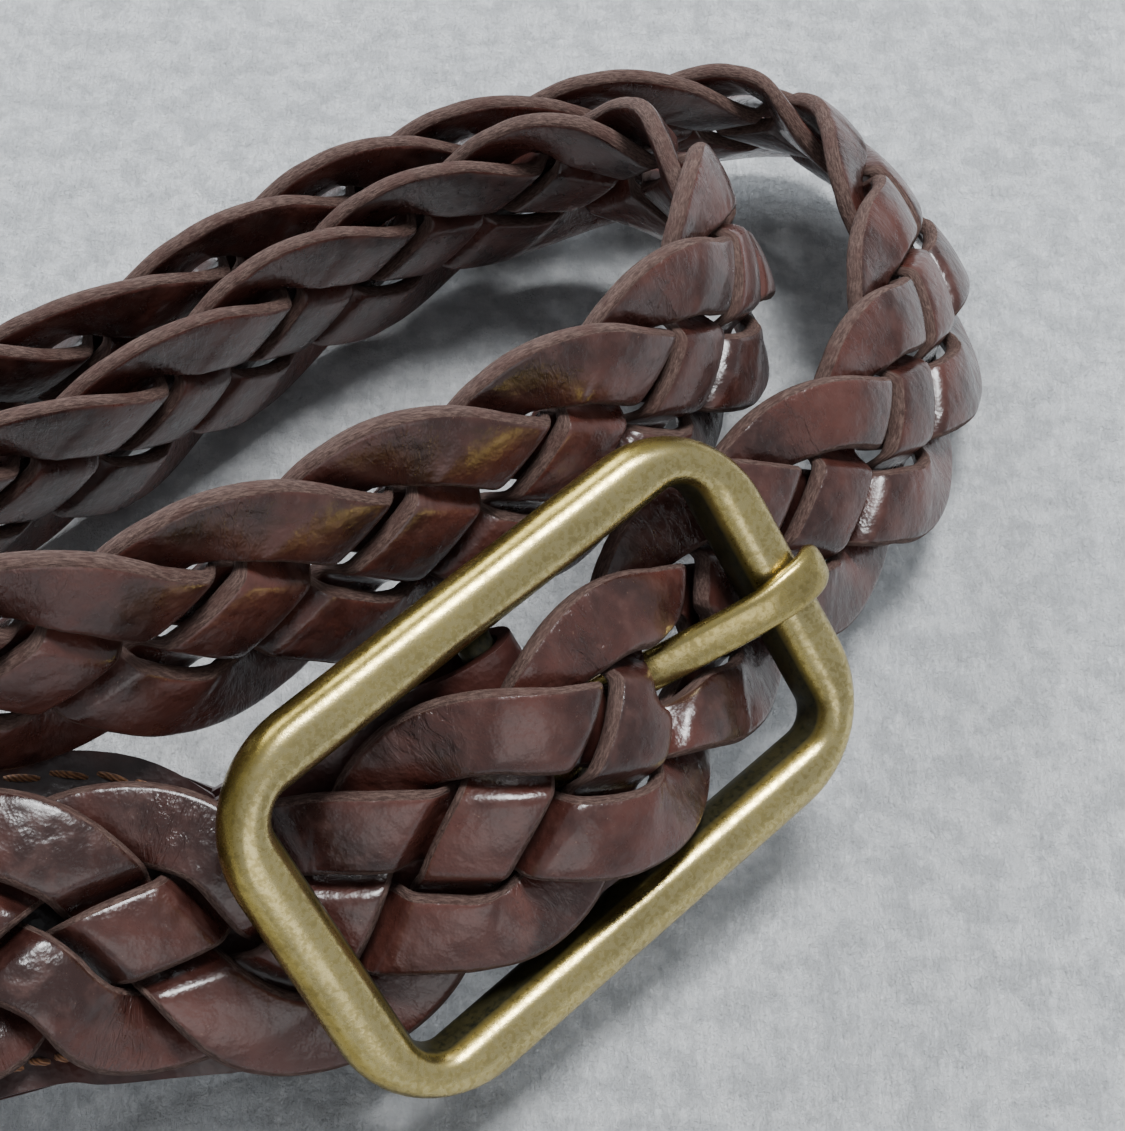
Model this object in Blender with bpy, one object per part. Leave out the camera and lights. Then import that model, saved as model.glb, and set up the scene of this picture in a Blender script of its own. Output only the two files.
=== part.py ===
"""Braided leather strap, closed by a centre-bar buckle and lying coiled in two turns.

Four laces plaited flat run from a folded leather chape at the buckle to a stitched tip.
Lengths are millimetres in the constants below and become metres in the objects.
"""
import math

import bpy
import numpy as np

MM = 0.001

PLACE = (40.074, 0.715, 4.90)  # puts the middle of the footprint at the origin, on the floor

# braid
PITCH = 18.0            # one edge scallop along the strap
COLUMN = 5.73           # rows of crossings above and below the middle line
TURN = 0.44             # part of a pitch over which a lace rounds the strap's edge
LACE_WIDTH = 6.85
LACE_THICK = 2.0
LACE_LEVEL = 1.5        # height of an over or under lace from the strap's middle
BRAID_HALF_THICK = LACE_LEVEL + LACE_THICK / 2

# buckle frame: centre, direction along the strap and direction across it
FRAME_CENTRE = (-1.0, -32.9, 19.3)
FRAME_ALONG = (0.728, 0.680, 0.088)
FRAME_ACROSS = (-0.516, 0.457, 0.724)
FRAME_LENGTH = 61.0
FRAME_WIDTH = 39.6
FRAME_BAR_WIDE = 5.8
FRAME_BAR_THICK = 5.0
FRAME_CORNER = 11.5
FRAME_INNER_CORNER = 2.2
BAR_RADIUS = 1.7
BAR_LEVEL = -2.2        # centre bar below the frame's middle plane
ROOT_DROP = 8.7         # the strap's root lies this far under its tip end
ROOT_LEAN = 3.0         # and leans this much more, degrees
STRAP_SHIFT = -0.2      # strap sits this far below the frame's middle, across

# prong
PRONG_WIDE = 4.0
PRONG_THICK = 1.7
HOLE_HALF_LONG = 6.8    # the laces are pushed apart round the prong
HOLE_HALF_TALL = 2.9

# chape and tip leather
SKIN = 1.3
CHAPE_LENGTH = 56.0
CHAPE_WIDE = 29.0
CHAPE_NECK = 25.2
TIP_WIDE = 26.5

# the strap's middle line: x, y, height, lean of the top edge towards the coil's inside (degrees)
FIRST_TURN = [
    (-78.0, -52.5, 10.5, 66), (-95.0, -50.5, 10.3, 68), (-110.5, -41.0, 10.3, 69),
    (-116.5, -26.0, 10.3, 68), (-108.0, -14.0, 10.3, 61), (-92.5, -9.5, 10.6, 38),
    (-76.0, -6.5, 10.4, 16), (-59.5, 0.8, 10.0, 8), (-46.5, 10.0, 9.8, 7),
    (-37.5, 19.2, 9.8, 7), (-27.5, 29.4, 10.3, 7), (-15.5, 38.4, 11.8, 9),
    (-3.0, 44.5, 14.6, 13), (8.0, 43.5, 18.0, 18), (14.4, 35.5, 21.0, 22)]
RUN_ONE = [
    (16.0, 28.5, 23.6, 24), (13.8, 13.6, 26.6, 23), (5.0, 0.6, 28.4, 21),
    (-7.8, -10.0, 28.8, 18), (-22.5, -19.6, 29.6, 15), (-38.0, -29.4, 31.6, 10)]
SECOND_TURN = [
    (-53.0, -34.6, 33.2, 6), (-69.0, -36.4, 33.2, 5), (-84.5, -36.8, 33.0, 6),
    (-98.0, -31.0, 32.6, 8), (-106.0, -18.0, 32.6, 8), (-107.5, -3.5, 29.0, 8),
    (-99.5, 7.5, 20.5, 9), (-85.0, 12.0, 13.2, 10), (-68.5, 12.5, 9.9, 10),
    (-54.0, 17.8, 9.2, 10), (-42.5, 27.0, 9.2, 10), (-31.5, 37.6, 9.2, 10),
    (-18.5, 47.4, 9.2, 12), (-4.0, 54.8, 9.3, 16), (11.0, 60.0, 9.6, 22),
    (25.5, 60.5, 10.0, 32), (35.0, 51.0, 10.5, 38), (38.6, 38.0, 11.2, 41)]
RUN_TWO = [
    (37.4, 22.6, 12.2, 38), (31.2, 7.6, 13.6, 35)]
# along the frame from its middle, and level above its middle plane
UNDER_OVER_UNDER = [(28.0, -7.0), (14.0, -1.1), (0.0, 4.3), (-14.0, -1.1), (-28.0, -7.8)]
# middle of the chape's layers from the centre bar back under the strap, and their extra lean
CHAPE_UNDER = [(6.0, -2.2, 0), (0.0, -2.2, 0), (-5.0, -3.2, 0), (-10.0, -6.2, 0), (-14.0, -8.5, 0),
               (-20.0, -11.2, 2), (-28.0, -14.9, 5)]
TIP_RUN = [
    (-44.5, -49.3, 18.0, 62), (-60.5, -54.8, 17.6, 66), (-75.0, -58.6, 17.6, 67)]


def unit(vector):
    vector = np.asarray(vector, float)
    return vector / np.linalg.norm(vector)


def spline(knots, values, at):
    """Natural cubic spline through the rows of values."""
    count = len(knots)
    gap = np.diff(knots)
    system = np.eye(count)
    right = np.zeros_like(values)
    for i in range(1, count - 1):
        system[i, i - 1:i + 2] = gap[i - 1], 2 * (gap[i - 1] + gap[i]), gap[i]
        right[i] = 6 * ((values[i + 1] - values[i]) / gap[i] - (values[i] - values[i - 1]) / gap[i - 1])
    bend = np.linalg.solve(system, right)
    i = np.clip(np.searchsorted(knots, at, side="right") - 1, 0, count - 2)
    g = gap[i][:, None]
    low = (knots[i + 1] - at)[:, None] / g
    high = 1 - low
    curve = ((low ** 3 - low) * bend[i] + (high ** 3 - high) * bend[i + 1]) * g * g / 6
    return low * values[i] + high * values[i + 1] + curve


class Band:
    """The surface a strap lies on: distance along, across (up) and out of its face."""

    def __init__(self, stations):
        stations = np.array(stations, float)
        steps = np.linalg.norm(np.diff(stations[:, :3], axis=0), axis=1)
        knots = np.concatenate([[0], np.cumsum(steps)])
        at = np.linspace(0, knots[-1], int(knots[-1] * 4))
        fine = spline(knots, stations, at)
        self.middle = fine[:, :3]
        steps = np.linalg.norm(np.diff(self.middle, axis=0), axis=1)
        self.along = np.concatenate([[0], np.cumsum(steps)])
        self.station_along = np.interp(knots, at, self.along)
        self.lean = fine[:, 3]
        lean = np.radians(self.lean)[:, None]
        forward = np.gradient(self.middle, self.along, axis=0)
        forward /= np.linalg.norm(forward, axis=1)[:, None]
        inward = np.stack([forward[:, 1], -forward[:, 0], 0 * forward[:, 0]], 1)
        inward /= np.linalg.norm(inward, axis=1)[:, None]
        across = np.cos(lean) * np.array([0, 0, 1]) + np.sin(lean) * inward
        across -= forward * (across * forward).sum(1)[:, None]
        self.across = across / np.linalg.norm(across, axis=1)[:, None]
        self.out = np.cross(self.across, forward)

    def pick(self, rows, at):
        return np.stack([np.interp(at, self.along, rows[:, i]) for i in range(3)], -1)

    def point(self, along, across, out):
        """World points in millimetres; beyond the ends the band runs on straight."""
        along, across, out = np.broadcast_arrays(*(np.asarray(v, float) for v in (along, across, out)))
        inside = np.clip(along, 0, self.along[-1])
        spare = (along - inside)[..., None]
        tail = unit(self.middle[-1] - self.middle[-5])
        base = self.pick(self.middle, inside) + spare * tail
        return base + across[..., None] * self.pick(self.across, inside) + out[..., None] * self.pick(self.out, inside)


# frame axes, made square to one another
ALONG = unit(FRAME_ALONG)
ACROSS = unit(np.array(FRAME_ACROSS) - ALONG * np.dot(FRAME_ACROSS, ALONG))
OUT = np.cross(ALONG, ACROSS)
FRAME_LEAN = math.degrees(math.asin(OUT[2]))


def in_frame(along, across, out):
    return np.array(FRAME_CENTRE) + ALONG * along + ACROSS * across + OUT * out


def strap_stations():
    """All stations from inside the chape to the tip, and where the buckle sits on them."""
    buckle = []
    for along, out in UNDER_OVER_UNDER:
        extra = 5 if along < -20 else 0
        buckle.append(tuple(in_frame(along, STRAP_SHIFT, out)) + (FRAME_LEAN + extra,))
    end = Band(RUN_TWO + buckle + TIP_RUN)
    middle = end.station_along[len(RUN_TWO) + 2]
    start = []
    for back in (CHAPE_LENGTH - 12, CHAPE_LENGTH - 6, CHAPE_LENGTH):
        spot = end.point(middle + back, 0, -ROOT_DROP)
        start.append(tuple(spot) + (float(np.interp(middle + back, end.along, end.lean)) + ROOT_LEAN,))
    before = start + FIRST_TURN + RUN_ONE + SECOND_TURN + RUN_TWO
    return before + buckle + TIP_RUN, len(before) + 2, len(start) + len(FIRST_TURN)


def chape_stations(stations):
    chape = [tuple(in_frame(along, STRAP_SHIFT, out)) + (FRAME_LEAN + extra,) for along, out, extra in CHAPE_UNDER]
    return chape + stations[:3]


STATIONS, AT_BAR, AT_RUN_ONE = strap_stations()
STRAP = Band(STATIONS)
CHAPE = Band(chape_stations(STATIONS))
CHAPE_BAR = CHAPE.station_along[1]
ROOT_BACK = CHAPE.station_along[-3] - CHAPE_BAR
BAR_ALONG = STRAP.station_along[AT_BAR]
RUN_TWO_ALONG = STRAP.station_along[AT_BAR - 4]
TIP_ALONG = STRAP.station_along[-3]
END_ALONG = STRAP.station_along[-1]
HOLE_ALONG = BAR_ALONG - 16.2

# pitches counted from the chape, at known places along the strap
COUNT_KEYS = [(0.0, 0.0)]
COUNT_KEYS += [(STRAP.station_along[AT_RUN_ONE + 1 + i], 16.0 + i) for i in range(5)]
COUNT_KEYS += [(RUN_TWO_ALONG, 37.0), (STRAP.station_along[AT_BAR - 3], 38.0)]
COUNT_KEYS += [(HOLE_ALONG, 40.0), (BAR_ALONG + 1.5, 41.0), (TIP_ALONG, 44.0)]
COUNT_KEYS += [(END_ALONG, 44.0 + (END_ALONG - TIP_ALONG) / PITCH)]
BRAID_START = 0.15
BRAID_END = 44.9


def along_of(count):
    keys = np.array(COUNT_KEYS)
    return np.interp(count, keys[:, 1], keys[:, 0])


def spread(along, across):
    """Laces pushed apart round the prong."""
    stretch = HOLE_HALF_LONG / HOLE_HALF_TALL
    opening = 0.955 * HOLE_HALF_TALL
    x = (along - HOLE_ALONG) / stretch
    radius = np.hypot(x, across) + 1e-9
    grown = (radius ** 3 + opening ** 3) ** (1 / 3) / radius
    return HOLE_ALONG + x * grown * stretch, across * grown


def lace_centre(turn):
    """Height across the strap of a lace; turn runs 0 to 4 pitches over its whole cycle."""
    turn = np.mod(turn, 4)
    from_top = np.abs(turn - 3.5)
    from_top = np.minimum(from_top, 4 - from_top)
    from_edge = np.minimum(from_top, 2 - from_top)
    side = np.where(from_top < 1, 1, -1)
    crest = COLUMN * (2 - TURN)
    arch = crest - COLUMN / TURN * from_edge ** 2
    leg = crest - COLUMN * TURN - 2 * COLUMN * (from_edge - TURN)
    return side * np.where(from_edge < TURN, arch, leg)


FLAT = 0.179            # half of a crossing, in pitches
LEVEL_TURNS = [(0, 1), (0.5, -1), (1, 1), (2, -1), (2.5, 1), (3, -1), (4, 1)]
LEVEL_KEYS = []
for turn, sign in LEVEL_TURNS:
    LEVEL_KEYS += [(turn - FLAT, sign), (turn + FLAT, sign)]


def lace_level(turn):
    keys = np.array(LEVEL_KEYS)
    return LACE_LEVEL * np.interp(np.mod(turn + FLAT, 4) - FLAT, keys[:, 0], keys[:, 1])


def lace_skew(turn):
    """Cut lines of a lace run parallel to the laces it crosses; square at the edges."""
    turn = np.mod(turn, 4)
    return np.interp(turn, [0, 1.2, 1.8, 3.2, 3.8, 4], [1, 1, -1, -1, 1, 1])


def lace_sections(number):
    """Four corner points for each station of one lace."""
    turns = [turn for turn, _ in LEVEL_KEYS if -FLAT < turn < 4 - FLAT - 0.01]
    turns += [-FLAT, 1.34, 1.5, 1.66, 3.34, 3.5, 3.66]
    counts = [number - turn + 4 * cycle for turn in turns for cycle in range(14)]
    counts += list(np.arange(39.3, 40.75, 0.09))
    counts = sorted(c for c in counts if BRAID_START + 0.02 < c < BRAID_END - 0.02)
    counts = np.array([BRAID_START] + counts + [BRAID_END])
    counts = counts[np.concatenate([[True], np.diff(counts) > 0.012])]
    turn = number - counts
    along = along_of(counts)
    across = lace_centre(turn)
    step = 0.02
    rise = (lace_centre(turn - step) - lace_centre(turn + step)) / (along_of(counts + step) - along_of(counts - step))
    length = np.hypot(1, rise)
    forward = np.stack([1 / length, rise / length], -1)
    upward = np.stack([-rise / length, 1 / length], -1)
    slope = math.atan(2 * COLUMN / PITCH)
    half = LACE_WIDTH / 2 * (upward - forward * (lace_skew(turn) / math.tan(2 * slope))[:, None])
    level = lace_level(turn)
    corners = []
    for side, out in ((1, 1), (-1, 1), (-1, -1), (1, -1)):
        a, y = spread(along + side * half[:, 0], across + side * half[:, 1])
        corners.append(STRAP.point(a, y, level + out * LACE_THICK / 2))
    return np.stack(corners, 1)


def swept(rings, closed=False):
    """Vertices and faces of a body from rings of points, each ring in the same order."""
    rings = np.asarray(rings)
    count, size = rings.shape[:2]
    faces = []
    for i in range(count if closed else count - 1):
        for k in range(size):
            following = (k + 1) % size
            j = (i + 1) % count
            faces.append((i * size + k, i * size + following, j * size + following, j * size + k))
    if not closed:
        faces.append(tuple(range(size))[::-1])
        faces.append(tuple((count - 1) * size + k for k in range(size)))
    return rings.reshape(-1, 3), faces


def slab(top, under, keep=None):
    """A leather layer between two grids of points; keep says which cells are there."""
    rows, columns = top.shape[:2]
    if keep is None:
        keep = np.ones((rows - 1, columns - 1), bool)
    points = np.concatenate([top.reshape(-1, 3), under.reshape(-1, 3)])
    low = rows * columns
    faces = []
    for i in range(rows - 1):
        for k in range(columns - 1):
            if not keep[i, k]:
                continue
            ring = [i * columns + k, (i + 1) * columns + k, (i + 1) * columns + k + 1, i * columns + k + 1]
            faces.append(tuple(ring))
            faces.append(tuple(low + v for v in ring[::-1]))
            beside = ((i, k - 1), (i + 1, k), (i, k + 1), (i - 1, k))
            for edge, (r, c) in enumerate(beside):
                inside = 0 <= r < rows - 1 and 0 <= c < columns - 1 and keep[r, c]
                if not inside:
                    a, b = ring[edge], ring[(edge + 1) % 4]
                    faces.append((b, a, low + a, low + b))
    used = sorted({v for face in faces for v in face})
    new = {v: i for i, v in enumerate(used)}
    return points[used], [tuple(new[v] for v in face) for face in faces]


def material(name, colour, roughness, metallic):
    made = bpy.data.materials.new(name)
    made.use_nodes = True
    shader = made.node_tree.nodes["Principled BSDF"]
    shader.inputs["Base Color"].default_value = colour + (1.0,)
    shader.inputs["Roughness"].default_value = roughness
    shader.inputs["Metallic"].default_value = metallic
    return made


def facing_out(points, faces):
    """The same faces, turned round if the body they close is inside out."""
    volume = 0.0
    for face in faces:
        for k in range(1, len(face) - 1):
            volume += np.dot(points[face[0]], np.cross(points[face[k]], points[face[k + 1]]))
    return faces if volume > 0 else [face[::-1] for face in faces]


def add(name, shape, finish, origin=(0.0, 0.0, 0.0), smooth=True):
    """An object from points in millimetres, with its origin where asked."""
    points, faces = shape
    origin = np.asarray(origin, float)
    mesh = bpy.data.meshes.new(name)
    mesh.from_pydata([tuple(p) for p in (points - origin) * MM], [], facing_out(points - origin, faces))
    mesh.materials.append(finish)
    if smooth:
        mesh.shade_smooth()
    mesh.update()
    made = bpy.data.objects.new(name, mesh)
    made.location = (origin + np.array(PLACE)) * MM
    bpy.context.scene.collection.objects.link(made)
    return made


# half the spacing of the chape's layers, by distance left of the centre bar
CHAPE_BACK = [0, 8, ROOT_BACK - 9, ROOT_BACK - 2, 60]
CHAPE_SPREAD = [2.7, 2.15, 2.15, 3.8, 3.8]
CHAPE_FOLD = 2.7
SLOT_HALF = 2.8


def chape_half_width(back):
    return np.interp(back, [0, 24, 34], [CHAPE_NECK / 2, CHAPE_NECK / 2, CHAPE_WIDE / 2])


def chape_spread(back):
    return np.interp(back, CHAPE_BACK, CHAPE_SPREAD)


def build_chape():
    backs = [CHAPE_LENGTH, 51, ROOT_BACK + 4, ROOT_BACK - 2, ROOT_BACK - 5.5, ROOT_BACK - 9, 29, 24, 18, 13, 8, 4]
    path = [(back, chape_spread(back), 0.0, 1.0) for back in backs]
    for degrees in (90, 60, 30, 0, -30, -60, -90):
        angle = math.radians(degrees)
        path.append((-CHAPE_FOLD * math.cos(angle), CHAPE_FOLD * math.sin(angle), -math.cos(angle), math.sin(angle)))
    path += [(back, -chape_spread(back), 0.0, -1.0) for back in reversed(backs)]
    rows = {1: [], -1: []}
    for back, level, back_out, level_out in path:
        wide = float(chape_half_width(max(back, 0)))
        across = np.array([-wide, -SLOT_HALF, SLOT_HALF, wide])
        for side in rows:
            push = side * SKIN / 2
            rows[side].append(CHAPE.point(CHAPE_BAR + back + push * back_out, across, level + push * level_out))
    keep = np.ones((len(path) - 1, 3), bool)
    for i in range(len(path) - 1):
        if max(path[i][0], path[i + 1][0]) < 8.1:
            keep[i, 1] = False
    return slab(np.array(rows[1]), np.array(rows[-1]), keep)


def flat_layer(band, alongs, halves, levels, thick, columns=(-1, 0, 1)):
    """A flat leather layer lying on a band's surface."""
    grids = []
    for side in (1, -1):
        rows = []
        for along, half, level in zip(alongs, halves, levels):
            rows.append(band.point(along, half * np.array(columns, float), level + side * thick / 2))
        grids.append(np.array(rows))
    return slab(*grids)


def thread(band, alongs, acrosses, levels, radius=0.35):
    """A row of stitches as one thread that rises and dips."""
    run = np.stack([np.gradient(alongs), np.gradient(acrosses)], 1)
    run /= np.linalg.norm(run, axis=1)[:, None]
    rings = []
    for i, (along, across, level) in enumerate(zip(alongs, acrosses, levels)):
        lift = 0.15 if i % 2 else -0.05
        ring = []
        for side, rise in ((radius, 0), (0, radius), (-radius, 0), (0, -radius)):
            ring.append(band.point(along - side * run[i, 1], across + side * run[i, 0], level + lift + rise))
        rings.append(ring)
    return swept(rings)


def rounded_rectangle(length, width, radius, steps=4):
    """Points of a rectangle's outline with rounded corners."""
    spots = []
    for quarter in range(4):
        sx = 1 if quarter in (0, 3) else -1
        sy = 1 if quarter in (0, 1) else -1
        for i in range(steps + 1):
            angle = math.radians(90 * quarter + 90 * i / steps)
            cx, cy = sx * (length / 2 - radius), sy * (width / 2 - radius)
            spots.append((cx + radius * math.cos(angle), cy + radius * math.sin(angle)))
    return spots


def build_frame():
    """Bar section: flat inner wall and back, domed front and outer side."""
    wide, thick = FRAME_BAR_WIDE / 2, FRAME_BAR_THICK / 2
    section = [(-wide, -thick), (-wide, thick * 0.35), (-wide * 0.6, thick * 0.85), (0, thick),
               (wide * 0.62, thick * 0.8), (wide, thick * 0.1), (wide * 0.85, -thick * 0.7), (wide * 0.4, -thick)]
    length, width = FRAME_LENGTH - FRAME_BAR_WIDE, FRAME_WIDTH - FRAME_BAR_WIDE
    loops = []
    for side, level in section:
        radius = np.interp(side, [-wide, wide], [FRAME_INNER_CORNER, FRAME_CORNER])
        outline = rounded_rectangle(length + 2 * side, width + 2 * side, radius)
        loops.append([in_frame(x, y, level) for x, y in outline])
    return swept(np.array(loops).transpose(1, 0, 2), closed=True)


def build_bar():
    half = FRAME_WIDTH / 2 - FRAME_BAR_WIDE - 0.05
    rings = []
    for across in (-half, half):
        ring = []
        for i in range(16):
            angle = 2 * math.pi * i / 16
            ring.append(in_frame(BAR_RADIUS * math.cos(angle), across, BAR_LEVEL + BAR_RADIUS * math.sin(angle)))
        rings.append(ring)
    return swept(rings[::-1])


def build_prong():
    """A strip curled round the bar, then up through the laces and down over the end bar."""
    loop = BAR_RADIUS + 0.25 + PRONG_THICK / 2
    path = []
    for degrees in range(235, -50, -30):
        angle = math.radians(degrees)
        path.append((loop * math.cos(angle), BAR_LEVEL + loop * math.sin(angle)))
    path += [(5.5, -5.2), (10.5, -3.7), (15.0, -1.2), (19.6, 1.3), (23.6, 3.2), (27.0, 3.9), (30.2, 3.5), (32.2, 1.9)]
    path = np.array(path)
    run = np.gradient(path, axis=0)
    run /= np.linalg.norm(run, axis=1)[:, None]
    rings = []
    for i, ((a, n), (da, dn)) in enumerate(zip(path, run)):
        half = PRONG_THICK / 2
        wide = PRONG_WIDE / 2 * (0.86 if i == len(path) - 1 else 1)
        ring = []
        for y, t in ((wide, -half), (wide, half * 0.5), (wide * 0.6, half), (-wide * 0.6, half), (-wide, half * 0.5), (-wide, -half)):
            ring.append(in_frame(a - dn * t, STRAP_SHIFT + y, n + da * t))
        rings.append(ring)
    return swept(rings)


def build():
    for thing in list(bpy.data.objects):
        bpy.data.objects.remove(thing, do_unlink=True)

    lace_leather = material("lace_leather", (0.060, 0.022, 0.017), 0.38, 0.0)
    tab_leather = material("tab_leather", (0.050, 0.020, 0.016), 0.45, 0.0)
    cord = material("waxed_thread", (0.30, 0.13, 0.05), 0.6, 0.0)
    brass = material("antique_brass", (0.42, 0.34, 0.16), 0.35, 1.0)

    for number in range(4):
        add(f"lace_{number + 1}", swept(lace_sections(number)), lace_leather, smooth=False)

    add("chape", build_chape(), tab_leather, smooth=False)
    backs = np.array([13.0, 18.0, 24.0, 29.0, ROOT_BACK - 10])
    core = flat_layer(CHAPE, CHAPE_BAR + backs, chape_half_width(backs) - 2.0, np.zeros(5), 1.5)
    add("chape_core", core, tab_leather, smooth=False)
    backs = np.arange(ROOT_BACK - 5.5, CHAPE_LENGTH - 1, 2.1)
    for name, side, edge in (("outer_upper", 1, 1), ("outer_lower", 1, -1), ("inner_upper", -1, 1), ("inner_lower", -1, -1)):
        levels = side * (chape_spread(backs) + SKIN / 2 + 0.8)
        row = thread(CHAPE, CHAPE_BAR + backs, edge * (chape_half_width(backs) - 1.9), levels)
        add("chape_stitch_" + name, row, cord)

    start = along_of(BRAID_END) - 8
    alongs = start + np.array([0, 5, 10, 12.5, 15, 18, 20.5, 22.5, 23.6])
    halves = TIP_WIDE / 2 * np.array([1, 1, 1, 1, 0.96, 0.82, 0.62, 0.38, 0.15])
    levels = np.array([3.5, 3.5, 3.5, 3.2, 2.0, 0.95, 0.85, 0.85, 0.85])
    for name, side in (("outer", 1), ("inner", -1)):
        add("tip_" + name, flat_layer(STRAP, alongs, halves, side * levels, SKIN), tab_leather, smooth=False)
        edge = np.concatenate([halves - 2.3, -(halves - 2.3)[::-1]])
        there = np.concatenate([alongs, alongs[::-1]]) - np.concatenate([np.zeros(6), np.full(6, 1.2), np.zeros(6)])
        keep = np.abs(edge) > 1.2
        rise = side * (np.concatenate([levels, levels[::-1]]) + SKIN / 2 + 0.55)
        add("tip_stitch_" + name, thread(STRAP, there[keep], edge[keep], rise[keep]), cord)

    hinge = in_frame(0, STRAP_SHIFT, BAR_LEVEL)
    frame = add("buckle_frame", build_frame(), brass, hinge)
    bar = add("centre_bar", build_bar(), brass, hinge)
    prong = add("prong", build_prong(), brass, hinge)
    for child in (bar, prong):
        child.parent = frame
        child.location = (0.0, 0.0, 0.0)


build()
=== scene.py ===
"""Looks of the braided leather belt: laces, chape, tip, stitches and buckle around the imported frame.

Lengths are millimetres until a mesh is made, as in the belt's own drawing, and PLACE moves them onto
the floor of the frame.
"""
import math

import bpy
import numpy as np
from mathutils import Matrix, Vector


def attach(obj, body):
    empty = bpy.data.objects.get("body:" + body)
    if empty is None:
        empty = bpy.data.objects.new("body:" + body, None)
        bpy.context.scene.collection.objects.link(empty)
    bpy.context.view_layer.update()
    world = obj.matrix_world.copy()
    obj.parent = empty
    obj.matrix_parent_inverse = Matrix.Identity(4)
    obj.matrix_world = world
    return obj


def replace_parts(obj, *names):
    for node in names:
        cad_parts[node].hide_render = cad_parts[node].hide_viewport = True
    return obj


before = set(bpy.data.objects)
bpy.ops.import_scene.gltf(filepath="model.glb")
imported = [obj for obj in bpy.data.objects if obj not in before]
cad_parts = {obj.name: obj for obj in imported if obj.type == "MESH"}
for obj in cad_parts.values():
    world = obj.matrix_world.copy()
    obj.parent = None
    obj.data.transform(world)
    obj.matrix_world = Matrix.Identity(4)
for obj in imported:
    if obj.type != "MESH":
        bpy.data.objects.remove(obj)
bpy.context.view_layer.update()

MM = 0.001

PLACE = (40.074, 0.715, 4.90)  # puts the middle of the footprint at the origin, on the floor

# braid
PITCH = 18.0            # one edge scallop along the strap
COLUMN = 5.73           # rows of crossings above and below the middle line
TURN = 0.44             # part of a pitch over which a lace rounds the strap's edge
LACE_WIDTH = 7.5
LACE_THICK = 2.3
LACE_LEVEL = 1.3        # height of an over or under lace from the strap's middle
LACE_PILLOW = 0.6       # how far a lace's middle bulges over the lace it crosses
LACE_STEP = 0.025       # stations along a lace, in pitches

# buckle frame: centre, direction along the strap and direction across it
FRAME_CENTRE = (-1.0, -32.9, 19.3)
FRAME_ALONG = (0.728, 0.680, 0.088)
FRAME_ACROSS = (-0.516, 0.457, 0.724)
FRAME_LENGTH = 61.0
FRAME_WIDTH = 39.6
FRAME_BAR_WIDE = 5.8
FRAME_CORNER = 11.5
FRAME_INNER_CORNER = 2.2
BAR_RADIUS = 1.7
BAR_LEVEL = -2.2        # centre bar below the frame's middle plane
ROOT_DROP = 8.7         # the strap's root lies this far under its tip end
ROOT_LEAN = 3.0         # and leans this much more, degrees
STRAP_SHIFT = -0.2      # strap sits this far below the frame's middle, across

# prong
PRONG_WIDE = 4.0
PRONG_THICK = 1.7
HOLE_HALF_LONG = 6.8    # the laces are pushed apart round the prong
HOLE_HALF_TALL = 2.9

# chape: folded round the centre bar, with a slot for the prong
SKIN = 1.3              # thickness of its leather
CHAPE_LENGTH = 56.0
CHAPE_COVER = 60.5      # how far back the leather reaches over the laces
CHAPE_WIDE = 29.0
CHAPE_NECK = 25.2
CHAPE_WIDENS = (33.0, 46.0)     # from its neck to its full width, back from the bar
CHAPE_FOLD = 2.7        # radius of the fold
SLOT_HALF = 2.8
SLOT_BACK = 8.1
CORE_INSET = 2.0
CORE_HALF_THICK = 0.8

# tip
TIP_WIDE = 26.5
TIP_MOUTH = 8.0         # how much of the braid it covers

# stitches
STITCH_RADIUS = 0.36
STITCH_RISE = 0.22
STITCH_DIP = 0.45
STITCH_PITCH = 2.45
STITCH_LENGTH = 2.0
STITCH_INSET = 2.2
STITCH_SLANT = 0.22
STITCH_RINGS = 7
STITCH_SIDES = 8

# the strap's middle line: x, y, height, lean of the top edge towards the coil's inside (degrees)
FIRST_TURN = [
    (-78.0, -52.5, 10.5, 66), (-95.0, -50.5, 10.3, 68), (-110.5, -41.0, 10.3, 69),
    (-116.5, -26.0, 10.3, 68), (-108.0, -14.0, 10.3, 61), (-92.5, -9.5, 10.6, 38),
    (-76.0, -6.5, 10.4, 16), (-59.5, 0.8, 10.0, 8), (-46.5, 10.0, 9.8, 7),
    (-37.5, 19.2, 9.8, 7), (-27.5, 29.4, 10.3, 7), (-15.5, 38.4, 11.8, 9),
    (-3.0, 44.5, 14.6, 13), (8.0, 43.5, 18.0, 18), (14.4, 35.5, 21.0, 22)]
RUN_ONE = [
    (16.0, 28.5, 23.6, 24), (13.8, 13.6, 26.6, 23), (5.0, 0.6, 28.4, 21),
    (-7.8, -10.0, 28.8, 18), (-22.5, -19.6, 29.6, 15), (-38.0, -29.4, 31.6, 10)]
SECOND_TURN = [
    (-53.0, -34.6, 33.2, 6), (-69.0, -36.4, 33.2, 5), (-84.5, -36.8, 33.0, 6),
    (-98.0, -31.0, 32.6, 8), (-106.0, -18.0, 32.6, 8), (-107.5, -3.5, 29.0, 8),
    (-99.5, 7.5, 20.5, 9), (-85.0, 12.0, 13.2, 10), (-68.5, 12.5, 9.9, 10),
    (-54.0, 17.8, 9.2, 10), (-42.5, 27.0, 9.2, 10), (-31.5, 37.6, 9.2, 10),
    (-18.5, 47.4, 9.2, 12), (-4.0, 54.8, 9.3, 16), (11.0, 60.0, 9.6, 22),
    (25.5, 60.5, 10.0, 32), (35.0, 51.0, 10.5, 38), (38.6, 38.0, 11.2, 41)]
RUN_TWO = [
    (37.4, 22.6, 12.2, 38), (31.2, 7.6, 13.6, 35)]
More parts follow.
